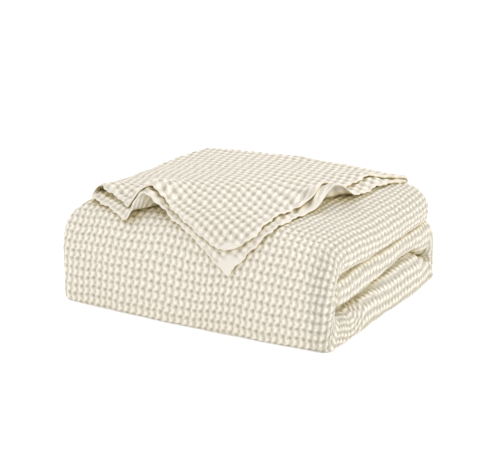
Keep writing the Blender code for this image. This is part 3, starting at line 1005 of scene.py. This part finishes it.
def outer_layer_piece(stretch, start, cloth):
    """The outer layer over one stretch of the strip, with its relief.

    start is the weave's lean and its cell at the stretch's first line; those of the next are given.
    """
    stations, along = even_stations(stretch, OUTER_SPACING[stretch])
    panel_cells = HIDDEN_PANEL_CELLS if stretch in ("bottom", "middle") else PANEL_CELLS
    outer, inner = strip_faces(stations, outer_runs(panel_cells))
    steps = np.linalg.norm(np.diff(outer, axis=1), axis=-1)
    width, openness = cell_facts(stretch, stations, outer[..., 0])
    u = np.pad(np.cumsum(steps / (0.5 * (width[:, 1:] + width[:, :-1])), axis=1), ((0, 0), (1, 0)))
    middle = RIGHT_CELLS + panel_cells // 2
    cells = along / (cloth.along * CELLS[stretch][0])
    lean, first = start
    leans = lean - (WALL_LEAN if stretch == "wall" else 0.0) * cells
    u = (u - u[:, middle : middle + 1]) / cloth.across + leans[:, None]
    v = np.broadcast_to((first + cells)[:, None], u.shape)
    u, v = wobble(u, v)
    weave = np.stack((u, v, np.zeros(u.shape)), axis=-1)
    shown = woven(outer, inner, weave, FACE_WAVES, cloth, openness)
    piece = closed_cloth(f"outer_layer_{stretch}", shown, inner, weave, openness)
    return piece, flat_size(outer), (leans[-1], first + cells[-1])


def cell_facts(stretch, stations, x):
    """The outer layer's cell widths as shares, narrower to the right, and how open its cells are."""
    before = np.array(CELLS[STRETCH_ORDER[max(STRETCH_ORDER.index(stretch) - 1, 0)]])
    here = np.array([mix(before, CELLS[stretch], float(ease(6 * share))) for _, share in stations])
    narrowed = mix(1.0, CELLS["wall"][1], np.clip((x - NARROWED[0]) / NARROWED[1], 0, 1))
    on_fold = rise(x, *FOLD_START)
    return mix(narrowed, here[:, 1:2], on_fold), mix(here[:, 2:], FOLD_OPENNESS, on_fold)


class BLANKET_OT_outer_layer(bpy.types.Operator):
    """Makes the layer that wraps the folded strip on its outside, one stretch after another"""

    bl_idname = "blanket.outer_layer"
    bl_label = "Outer layer"

    def execute(self, context):
        cloth = context.scene.blanket_cloth
        cotton = waffle_cotton("waffle cotton", FACE_WAVES, context.scene.blanket_colours, cloth)
        start = 0.0, 0.0
        for stretch in STRETCH_ORDER:
            piece, flat, start = outer_layer_piece(stretch, start, cloth)
            declare(piece, cotton, flat, [])
        return {"FINISHED"}


INNER_SPACING = {"top": 0.012, "wall": 0.006, "bottom": 0.014, "back": 0.006, "middle": 0.014}
INNER_PANEL = (0.0, 0.0015, 0.005, 0.013, 0.03, 0.1, 0.2, 0.31, 0.42, 0.53, 0.64, 0.75, 0.87, 1.0)
INNER_RIGHT_CELLS = 18
INNER_TOP_CELLS = 14
INNER_LEFT_CELLS = 14
INNER_FOLD_CELLS = 12
INNER_EXTRA = (("top", 0.012), 0.0033)  # a row near the first one, and how far along it is
INNER_FLAT = (1.68, 1.55)
TURN_STEPS = 6
END_SHARE = 0.06  # of the thickness squared, which is left at a rounded edge


def section_runs(layers):
    """A whole sheet's runs across the strip, from the first hem to the last."""
    bottom, top, second, third = layers
    hidden = np.array(INNER_PANEL)
    return (
        ("panel", bottom, hidden),
        ("right", top, INNER_RIGHT_CELLS),
        ("panel", top, np.linspace(1, 0, INNER_TOP_CELLS + 1)),
        ("left", top, INNER_LEFT_CELLS),
        ("panel", second, hidden),
        ("right", third, INNER_FOLD_CELLS),
        ("panel", third, hidden[::-1]),
    )


def inner_layers_piece(cloth):
    """All other layers: both sheets' cells but those of the outer layer, and the half fold."""
    stations, along = [], []
    start = 0.0
    for stretch in STRETCH_ORDER:
        some, spots = even_stations(stretch, INNER_SPACING[stretch])
        keep = slice(0, None if stretch == "middle" else -1)
        stations += some[keep]
        along += (start + spots)[keep].tolist()
        start += spots[-1]
    for rows, extra in zip((stations, along), INNER_EXTRA):
        rows.insert(1, extra)
    going = strip_faces(stations, section_runs(OUTER_SHEET))
    coming = strip_faces(stations, section_runs(INNER_SHEET), (False, True))
    faces = []
    for there, back in zip(going, coming):
        centre, arm = (there[-1] + back[-1]) / 2, (there[-1] - back[-1]) / 2
        turn = []
        for step in range(1, TURN_STEPS):
            angle = pi * step / TURN_STEPS
            row = centre + arm * cos(angle)
            row[:, 1] -= np.linalg.norm(arm, axis=1) * sin(angle)
            turn.append(row)
        faces.append(np.concatenate((there, np.array(turn), back[::-1])))
    outer, inner = faces
    rows, columns = outer.shape[:2]
    hidden = len(INNER_PANEL) - 1
    wrap = INNER_RIGHT_CELLS + INNER_TOP_CELLS + INNER_LEFT_CELLS

    lengths = path_lengths(outer)
    ahead = np.array(along + [along[-1]] * (TURN_STEPS - 1) + along[::-1])
    ahead = np.broadcast_to(ahead[:, None], lengths.shape)
    from_end = ahead.copy()
    from_end[:, hidden : hidden + wrap + 1] = FAR
    from_edge = np.minimum(np.minimum(lengths, lengths[:, -1:] - lengths), from_end)
    hem = near(from_edge, cloth.hem_width, 0.001)
    weave = np.stack((*wobble(lengths / cloth.across, ahead / cloth.along), hem), axis=-1)

    left = rounded(from_edge, END_SHARE)[..., None]
    centre = (outer + inner) / 2
    points = np.concatenate([(centre + (face - centre) * left).reshape(-1, 3) for face in faces])

    kept = np.ones((rows - 1, columns - 1), bool)
    kept[: len(stations) - 1, hidden : hidden + wrap] = False
    cells = grid_cells(np.arange(rows * columns).reshape(rows, columns))[kept].tolist()
    edges = dict.fromkeys(pair for cell in cells for pair in zip(cell, cell[1:] + cell[:1]))
    far = rows * columns
    backs = [[number + far for number in reversed(cell)] for cell in cells]
    rims = [[b, a, a + far, b + far] for a, b in edges if (b, a) not in edges]
    used, faces = np.unique(cells + backs + rims, return_inverse=True)
    facts = np.concatenate((weave.reshape(-1, 3),) * 2)
    plain = np.ones(len(used), bool)
    return cloth_object("inner_layers", points[used], faces.reshape(-1, 4).tolist(), facts[used], plain)


class BLANKET_OT_inner_layers(bpy.types.Operator):
    """Makes the layers that are folded away, whose hems and ends show at the left and the back"""

    bl_idname = "blanket.inner_layers"
    bl_label = "Inner layers"

    def execute(self, context):
        cloth = context.scene.blanket_cloth
        piece = inner_layers_piece(cloth)
        make_outward(piece)
        declare(piece, bpy.data.materials["waffle cotton"], INNER_FLAT, [])
        return {"FINISHED"}


def make_outward(piece):
    """Turns all faces of a closed piece outward."""
    shell = bmesh.new()
    shell.from_mesh(piece.data)
    bmesh.ops.recalc_face_normals(shell, faces=shell.faces)
    shell.to_mesh(piece.data)
    shell.free()


# The loose corner's cells: how many lengths and widths of a cell a metre across, a metre forward and
# a metre forward of CORNER_FRONT add to their count
CORNER_ACROSS = (0.87, -0.22, 0.58)
CORNER_ALONG = (-0.06, 0.80, 0.45)
CORNER_FRONT = 0.02
CORNER_ASKEW = -0.50  # what the first of CORNER_ALONG gains by the turn forward of the back edge
CORNER_TURNS = (-0.15, 0.14)  # from how far forward, and over how much
CORNER_TURN = 0.032  # the length of its turn round the back edge
THIN_EDGE = 0.16  # the share of the thickness that is left at a hem's edge
GROOVE = (0.0005, 0.0010)  # beside a hem: its depth and half its width


def lines_to_hem(length, spacing):
    """Shares of a length that are evenly spaced, with closer lines at the hem in which it ends."""
    spots = np.linspace(0, length, round(length / spacing) + 1)
    spots = spots[spots < length - 2.5 * spacing]
    return np.concatenate((spots, [length - spot for spot in reversed(EDGE_LINES)])) / length


def corner_lines(spacing):
    """A loose layer's lines: turns round the back edge, then shares forward to the front hem."""
    turns = np.linspace(-pi / 2, pi / 2, round(CORNER_TURN / spacing) + 1)[:-1]
    return turns, lines_to_hem(CORNER_LENGTH, spacing)


def to_front_hem(turns, q):
    """The way to the front hem from each of those lines."""
    return np.concatenate((np.full(len(turns), FAR), (1 - q) * CORNER_LENGTH))[:, None]


def round_off(distance, turns, q):
    """The share of a folded layer's thickness that is left in a loose one and at its hems."""
    share = THIN_EDGE + (1 - THIN_EDGE) * rounded(distance)
    forward = np.concatenate((np.zeros(len(turns)), q))[:, None]
    return share * mix(1.0, LOOSE_THICKNESS, ease(3 * forward))


def corner_cells(level, p, turns, q, cloth):
    """A loose layer's cells: its weave runs askew to the body and turns with the front hem."""
    places, shares = np.meshgrid(p, np.concatenate((np.zeros(len(turns)), q)))
    across, forward = hem_patch(level)(places, shares)
    forward = forward + np.pad((turns - pi / 2) * CORNER_BEND, (0, len(q)))[:, None]
    over = np.maximum(forward - CORNER_FRONT, 0.0)
    askew = CORNER_ASKEW * rise(forward, *CORNER_TURNS)
    u = CORNER_ACROSS[0] * across + CORNER_ACROSS[1] * forward + CORNER_ACROSS[2] * over
    v = CORNER_ALONG[1] * forward + (CORNER_ALONG[0] + askew) * across + CORNER_ALONG[2] * over
    return u / cloth.across, v / cloth.along


def finished_corner(name, outer, inner, cells, edges, cloth):
    """A piece of the loose corner from its two faces, with its relief, hems and weave.

    edges are the distances from its side and front hems. The weave's third value is 1 in a hem and
    up to 3 in the pale line along its edge and where two hems cross.
    """
    distance = np.minimum(*edges)
    hem = near(distance, cloth.hem_width, 0.0012)
    hem += near(distance, EDGE_LINE, 0.0008)
    hem += 2 * near(np.maximum(*edges), TIP_PATCH, 0.003)
    weave = np.stack((*wobble(*cells), np.minimum(hem, 3)), axis=-1)
    groove = GROOVE[0] * np.exp(-(((distance - cloth.hem_width) / GROOVE[1]) ** 2))[..., None]
    shown = woven(outer, inner, weave, REVERSE_WAVES, cloth) - face_normals(outer, inner) * groove
    shown = mix(outer, shown, np.clip(distance / HEM_ROUND, 0, 1)[..., None])
    inner_weave = weave.copy()
    inner_weave[..., 1] -= np.linalg.norm(outer - inner, axis=-1) / cloth.along
    return closed_cloth(name, shown, inner, weave, step=CORNER_STEP, inner_weave=inner_weave)


def corner_piece(level, name, cloth):
    """One loose layer, from the top run's back end round and forward to the front hem."""
    p = lines_to_hem(CORNER_WIDTH, CORNER_SPACING[level])
    turns, q = corner_lines(CORNER_SPACING[level])
    edges = np.broadcast_arrays((1 - p) * CORNER_WIDTH, to_front_hem(turns, q))
    share = round_off(np.minimum(*edges), turns, q)
    faces = [corner_layer(level, p, turns, q, 0.5 + 0.5 * way * share, way < 0) for way in (1, -1)]
    cells = corner_cells(level, p, turns, q, cloth)
    outward = [unit(np.gradient(faces[0], axis=axis)) for axis in (1, 0)]
    for way, edge in enumerate(edges):
        run = tau * cells[1 - way]
        pull = cloth.scallop * np.cos(run) + HEM_WAVER * np.sin(run / WAVER_LENGTH + 2 * level)
        pull *= np.clip(1 - edge / cloth.hem_width, 0, 1)
        faces = [face + outward[way] * pull[..., None] for face in faces]
    return finished_corner(name, *faces, cells, edges, cloth), flat_size(faces[0])


def corner_fold_piece(name, cloth):
    """The fold that joins the two loose layers along their left side."""
    turns, q = corner_lines(CORNER_FOLD_SPACING)
    from_front = to_front_hem(turns, q)
    share = round_off(from_front, turns, q)
    p = np.array([0.0, 0.004])  # the left edge and a line beside it
    angle = np.linspace(0, pi, CORNER_FOLD_CELLS + 1)[:, None]
    faces = []
    for way in (1, -1):
        upper = corner_layer(1, p, turns, q, 0.5 + 0.5 * way * share, way < 0)
        lower = corner_layer(0, p, turns, q, 0.5 - 0.5 * way * share, way > 0)
        outward = unit(upper[:, 0] - upper[:, 1]) + unit(lower[:, 0] - lower[:, 1])
        centre, arm = (upper[:, :1] + lower[:, :1]) / 2, (upper[:, :1] - lower[:, :1]) / 2
        reach = CORNER_FOLD_FULLNESS * np.linalg.norm(arm, axis=-1, keepdims=True)
        out = unit(outward)[:, None] * reach
        faces.append(centre + arm * np.cos(angle) + out * np.sin(angle))
    outer, inner = faces
    shape = outer.shape[:2]
    u, v = corner_cells(1, p[:1], turns, q, cloth)
    u = u - path_lengths(outer) / cloth.across
    edges = np.full(shape, FAR), np.broadcast_to(from_front, shape)
    cells = u, np.broadcast_to(v, shape)
    return finished_corner(name, outer, inner, cells, edges, cloth), flat_size(outer)


STITCH_INSET = 0.0006  # from the hem's inner side
STITCH_RINGS = ((-0.5, 0.0), (-0.36, 0.8), (0.0, 1.0), (0.36, 0.8), (0.5, 0.0))  # places and sizes
STITCH_SIDES = 6
STITCH_SHARES = (0.5 + 0.5 * LOOSE_THICKNESS, 1.3)  # offsets of the cloth's face and of a place above


def hem_stitches(level, cloth):
    """Centres, directions and normals of the hem stitches of a loose layer."""
    inset = cloth.hem_width - STITCH_INSET
    rows = []
    shares = np.linspace(0, 1, 900)
    right, front = 1 - inset / CORNER_WIDTH, 1 - inset / CORNER_LENGTH
    for start, stop in (((0.0, front), (right, front)), ((right, front), (right, 0.0))):
        p, q = mix(start[0], stop[0], shares), mix(start[1], stop[1], shares)
        arms = turned_back(level, p)[2]
        base, above = (forward_of_edge(level, p, q, mix(*arms, share)) for share in STITCH_SHARES)
        length = path_length(base)
        count = int(length[-1] / cloth.stitch_pitch)
        spots = (np.arange(count) + 0.5) * length[-1] / count
        centre = read_curve(spots, length, base)
        ahead = read_curve(spots + 0.001, length, base) - centre
        rows.append((centre, unit(ahead), unit(read_curve(spots, length, above - base))))
    return [np.concatenate(part) for part in zip(*rows)]


def stitching_piece(name, level, cloth):
    """Short raised stitches along the hems of a loose layer."""
    centres, ahead, up = hem_stitches(level, cloth)
    side = unit(np.cross(ahead, up))
    around = STITCH_SIDES
    points, faces = [], []
    half = cloth.stitch_width / 2
    for centre, along, out, beside in zip(centres, ahead, up, side):
        first = len(points)
        for place, size in STITCH_RINGS:
            spot = centre + along * place * cloth.stitch_length - out * half * (0.5 + 0.6 * (1 - size))
            if size == 0:
                points.append(spot)
                continue
            for step in range(around):
                angle = tau * step / around
                points.append(spot + (beside * cos(angle) + out * sin(angle)) * half * size)
        ring = [first + 1 + n * around for n in range(3)]
        last = first + 1 + 3 * around
        for step in range(around):
            after = (step + 1) % around
            faces.append((first, ring[0] + after, ring[0] + step))
            for a, b in zip(ring, ring[1:]):
                faces.append((a + step, a + after, b + after, b + step))
            faces.append((ring[2] + step, ring[2] + after, last))
    facts = np.zeros((len(points), 3))
    piece = cloth_object(name, np.array(points), faces, facts, np.zeros(len(points), bool))
    make_outward(piece)
    return piece


class BLANKET_OT_loose_corner(bpy.types.Operator):
    """Makes the two loose layers that come forward over the top, with their sewn hems"""

    bl_idname = "blanket.loose_corner"
    bl_label = "Loose corner"

    def execute(self, context):
        cloth, colours = context.scene.blanket_cloth, context.scene.blanket_colours
        cotton = waffle_cotton("waffle cotton, reverse", REVERSE_WAVES, colours, cloth)
        thread = stitch_cotton("hem thread", colours)
        below = "outer_layer_top"
        for level, name in enumerate(("corner_lower", "corner_upper")):
            piece, flat = corner_piece(level, name, cloth)
            stitches = stitching_piece(f"{name}_stitching", level, cloth)
            stitches.data.materials.append(thread)
            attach(stitches, BODY)
            declare(piece, cotton, flat, [below], with_pieces=[stitches])
            below = name
        piece, flat = corner_fold_piece("corner_fold", cloth)
        declare(piece, cotton, flat, ["outer_layer_top"])
        return {"FINISHED"}


WHITE = (1.0, 1.0, 1.0, 1.0)
LAMPS = (("key", (-1.0, -0.6, 2.2), 1.6), ("fill", (2.0, 0.2, 0.8), 1.3))  # names, places and sizes
FLOOR_HEIGHT = -0.0002  # just under the blanket
FLOOR_TONES = (0.93, 0.95)
LIT_HEIGHT = 0.08  # above the floor, to which the lamps are turned
AIM_HEIGHT = 0.06  # to which the camera is turned
PICTURE = (500, 474)  # the photo's size in pixels
FOCAL_LENGTH = 1326.4  # in its pixels
AXIS = (251.7, 243.1)  # where the camera's axis meets it
SENSOR = 36.0


class BLANKET_OT_stage(bpy.types.Operator):
    """Makes the pale floor, the soft light and the camera"""

    bl_idname = "blanket.stage"
    bl_label = "Stage"

    def execute(self, context):
        scene, stage = context.scene, context.scene.blanket_stage
        self.floor(stage)
        self.light(scene, stage)
        self.camera(scene, stage)
        return {"FINISHED"}

    @staticmethod
    def floor(stage):
        half = stage.floor_size / 2
        mesh = bpy.data.meshes.new("floor")
        corners = [(x * half, y * half, 0) for x, y in ((-1, -1), (1, -1), (1, 1), (-1, 1))]
        mesh.from_pydata(corners, [], [(0, 1, 2, 3)])
        floor = new_object("floor", mesh)
        floor.location.z = FLOOR_HEIGHT
        finish = Finish("pale floor", roughness=0.7, specular=0.1)
        place = finish.add("ShaderNodeTexCoord", output="Object")
        tones = (rgba((tone, tone, tone)) for tone in FLOOR_TONES)
        tone = finish.blend(finish.noise(place, 3.0), *tones)
        floor.data.materials.append(finish.show(tone))
        finish.shader.inputs["Emission Color"].default_value = WHITE
        finish.shader.inputs["Emission Strength"].default_value = stage.floor_glow

    @staticmethod
    def light(scene, stage):
        world = bpy.data.worlds.new("soft sky")
        world.use_nodes = True
        sky = world.node_tree.nodes["Background"]
        sky.inputs["Color"].default_value = WHITE
        sky.inputs["Strength"].default_value = stage.sky
        scene.world = world
        scene.view_settings.view_transform = "Standard"
        for name, place, size in LAMPS:
            data = bpy.data.lights.new(name, "AREA")
            data.shape, data.size, data.energy = "DISK", size, getattr(stage, name)
            lamp = new_object(name, data)
            lamp.location = place
            to_blanket = Vector((0, 0, LIT_HEIGHT)) - lamp.location
            lamp.rotation_euler = to_blanket.to_track_quat("-Z", "Y").to_euler()

    @staticmethod
    def camera(scene, stage):
        azimuth, elevation = stage.azimuth, stage.elevation
        back = Vector((sin(azimuth) * cos(elevation), -cos(azimuth) * cos(elevation), sin(elevation)))
        right = Vector((cos(azimuth), sin(azimuth), 0.0))
        up = back.cross(right)
        c, s = cos(stage.roll), sin(stage.roll)
        right, up = c * right + s * up, -s * right + c * up
        target = Vector((-CENTRE_SHIFT[0], -CENTRE_SHIFT[1], AIM_HEIGHT))
        data = bpy.data.cameras.new("camera")
        data.sensor_width, data.sensor_fit = SENSOR, "HORIZONTAL"
        width, height = PICTURE
        data.lens = FOCAL_LENGTH * SENSOR / width
        data.shift_x, data.shift_y = (width / 2 - AXIS[0]) / width, (AXIS[1] - height / 2) / width
        data.clip_start, data.clip_end = 0.05, 50
        camera = new_object("camera", data)
        frame = Matrix((right, up, back)).transposed().to_4x4()
        frame.translation = target + back * stage.distance
        camera.matrix_world = frame
        scene.camera = camera


class BLANKET_PT_panel(bpy.types.Panel):
    """Lists the blanket's settings and the steps that build it"""

    bl_idname = "BLANKET_PT_panel"
    bl_label = "Folded waffle blanket"
    bl_space_type = "VIEW_3D"
    bl_region_type = "UI"
    bl_category = "Blanket"

    def draw(self, context):
        for group in GROUPS:
            box = self.layout.box()
            settings = getattr(context.scene, group)
            for name in settings.bl_rna.properties.keys():
                if name not in ("rna_type", "name"):
                    box.prop(settings, name)
        for operator in OPERATORS:
            self.layout.operator(operator.bl_idname)


GROUPS = {
    "blanket_cloth": BlanketCloth,
    "blanket_colours": BlanketColours,
    "blanket_stage": BlanketStage,
}
OPERATORS = (BLANKET_OT_outer_layer, BLANKET_OT_inner_layers, BLANKET_OT_loose_corner, BLANKET_OT_stage)


def register():
    for group in GROUPS.values():
        bpy.utils.register_class(group)
    for name, group in GROUPS.items():
        setattr(bpy.types.Scene, name, PointerProperty(type=group))
    for made in (*OPERATORS, BLANKET_PT_panel):
        bpy.utils.register_class(made)


def unregister():
    for made in (BLANKET_PT_panel, *reversed(OPERATORS)):
        bpy.utils.unregister_class(made)
    for name in GROUPS:
        delattr(bpy.types.Scene, name)
    for group in reversed(GROUPS.values()):
        bpy.utils.unregister_class(group)


def main():
    register()
    bpy.ops.blanket.outer_layer()
    bpy.ops.blanket.inner_layers()
    bpy.ops.blanket.loose_corner()
    bpy.ops.blanket.stage()


if __name__ == "__main__":
    main()
